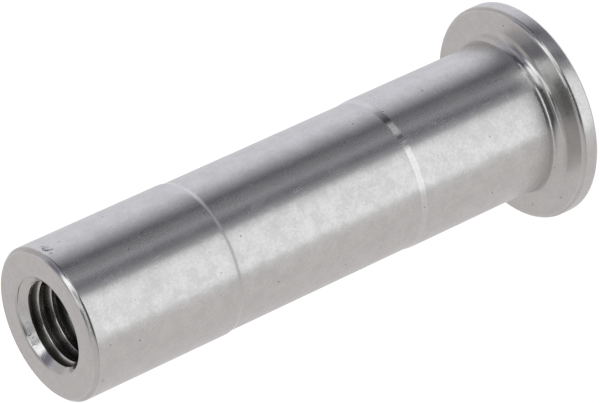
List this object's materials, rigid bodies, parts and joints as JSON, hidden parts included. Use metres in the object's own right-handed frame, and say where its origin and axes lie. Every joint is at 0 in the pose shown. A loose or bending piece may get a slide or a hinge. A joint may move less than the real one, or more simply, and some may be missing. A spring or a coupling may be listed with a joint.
{
  "type": "internally threaded headed stud",
  "caption": "Smooth round turned steel stud with a thin disc head, a slightly relieved middle and a blind tapped hole with a countersunk mouth in its free end.",
  "frame": {"origin": "centre of the head's outer face, on which the stud stands", "axes": "+Z along the stud's axis, from the head to the tapped end; the stud is a solid of revolution about Z"},
  "size_m": [0.023, 0.023, 0.06],
  "materials": {
    "turned_steel": "fine turned, bare"
  },
  "bodies": {
    "root": {"headed_pin": "turned_steel"}
  },
  "joints": []
}
